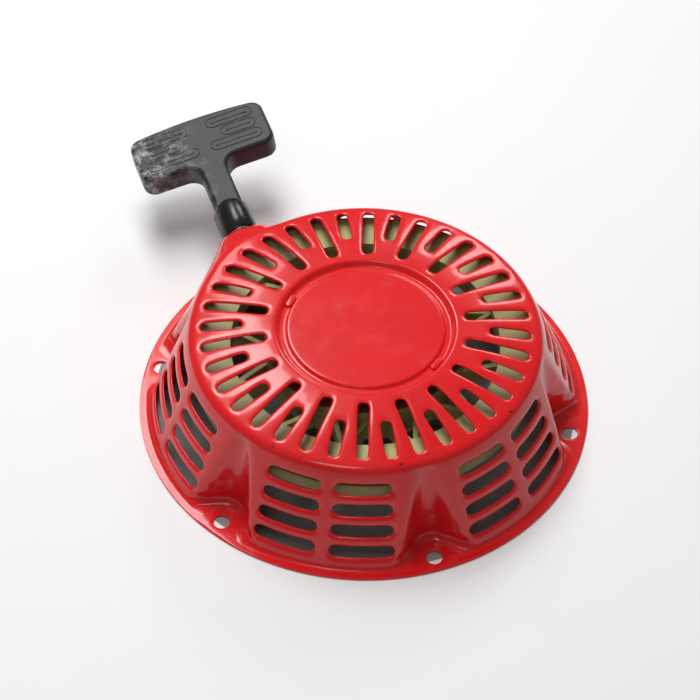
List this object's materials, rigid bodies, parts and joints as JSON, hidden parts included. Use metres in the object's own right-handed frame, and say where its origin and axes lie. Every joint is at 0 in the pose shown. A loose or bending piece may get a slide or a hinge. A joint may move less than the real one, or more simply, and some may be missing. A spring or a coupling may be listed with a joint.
{
  "type": "recoil starter",
  "caption": "Domed red steel recoil starter with slotted top, louvred wall, flange holes, nylon rope reel, ratchets and a black T-shaped pull grip.",
  "frame": {"origin": "centre of the bolt circle on the underside of the flange", "axes": "+Z away from the engine through the dome, +Y the way the rope is pulled"},
  "size_m": [0.2228, 0.2868, 0.0561],
  "materials": {
    "red_paint": "gloss",
    "nylon": "satin",
    "black_plastic": "satin",
    "rope": "braided",
    "zinc_steel": "zinc plated",
    "bare_steel": "turned",
    "spring_steel": "blued",
    "bronze": "sintered"
  },
  "bodies": {
    "housing": {"housing": "red_paint", "post_plate": "zinc_steel", "centre_post": "bare_steel", "spring_arbor": "bare_steel", "rope_eyelet": "bare_steel", "retaining_washer": "zinc_steel", "centre_screw": "zinc_steel", "rope_lead": "rope"},
    "reel": {"reel": "nylon", "reel_bush": "bronze", "mainspring": "spring_steel", "spring_keeper": "zinc_steel", "keeper_screws": "zinc_steel", "ratchet_pins": "bare_steel", "ratchet_spring_1": "spring_steel", "ratchet_spring_2": "spring_steel", "thrust_washer": "nylon", "rope_coil": "rope", "reel_knot": "rope"},
    "ratchet_guide": {"ratchet_guide": "zinc_steel", "friction_spring": "spring_steel"},
    "ratchet_1": {"ratchet_1": "bare_steel"},
    "ratchet_2": {"ratchet_2": "bare_steel"},
    "rope_end": {"grip_knot": "rope"},
    "grip": {"grip": "black_plastic", "grip_plate": "zinc_steel"}
  },
  "joints": [
    {"name": "reel_turn", "type": "hinge", "parent": "housing", "child": "reel", "pos_m": [0, 0, 0.0295], "axis": [0, 0, -1], "range_deg": [0, 1050], "stiffness_Nm_per_rad": 0.03, "springref_deg": -343.77, "deforming": ["mainspring"]},
    {"name": "guide_turn", "type": "hinge", "parent": "reel", "child": "ratchet_guide", "pos_m": [0, 0, 0.0212], "axis": [0, 0, 1], "range_deg": [0, 22]},
    {"name": "ratchet_1_swing", "type": "hinge", "parent": "reel", "child": "ratchet_1", "pos_m": [0.025, 0, 0.0273], "axis": [0, 0, 1], "range_deg": [0, 25.5], "stiffness_Nm_per_rad": 0.002, "springref_deg": -17.19, "deforming": ["ratchet_spring_1"]},
    {"name": "ratchet_2_swing", "type": "hinge", "parent": "reel", "child": "ratchet_2", "pos_m": [-0.025, 0, 0.0273], "axis": [0, 0, 1], "range_deg": [0, 25.5], "stiffness_Nm_per_rad": 0.002, "springref_deg": -17.19, "deforming": ["ratchet_spring_2"]},
    {"name": "grip_pull", "type": "slide", "parent": "housing", "child": "rope_end", "axis": [0, 1, 0], "range_m": [0, 1.4], "deforming": ["rope_lead"]},
    {"name": "grip_twist", "type": "hinge", "parent": "rope_end", "child": "grip", "pos_m": [-0.035, 0.1578, 0.0398], "axis": [0, 1, 0], "range_deg": [-90, 90]}
  ],
  "couplings": [
    {"joint": "grip_pull", "follows": "reel_turn", "m_per_rad": 0.07605},
    {"joint": "ratchet_1_swing", "follows": "guide_turn", "ratio": 1.1364},
    {"joint": "ratchet_2_swing", "follows": "guide_turn", "ratio": 1.1364}
  ]
}
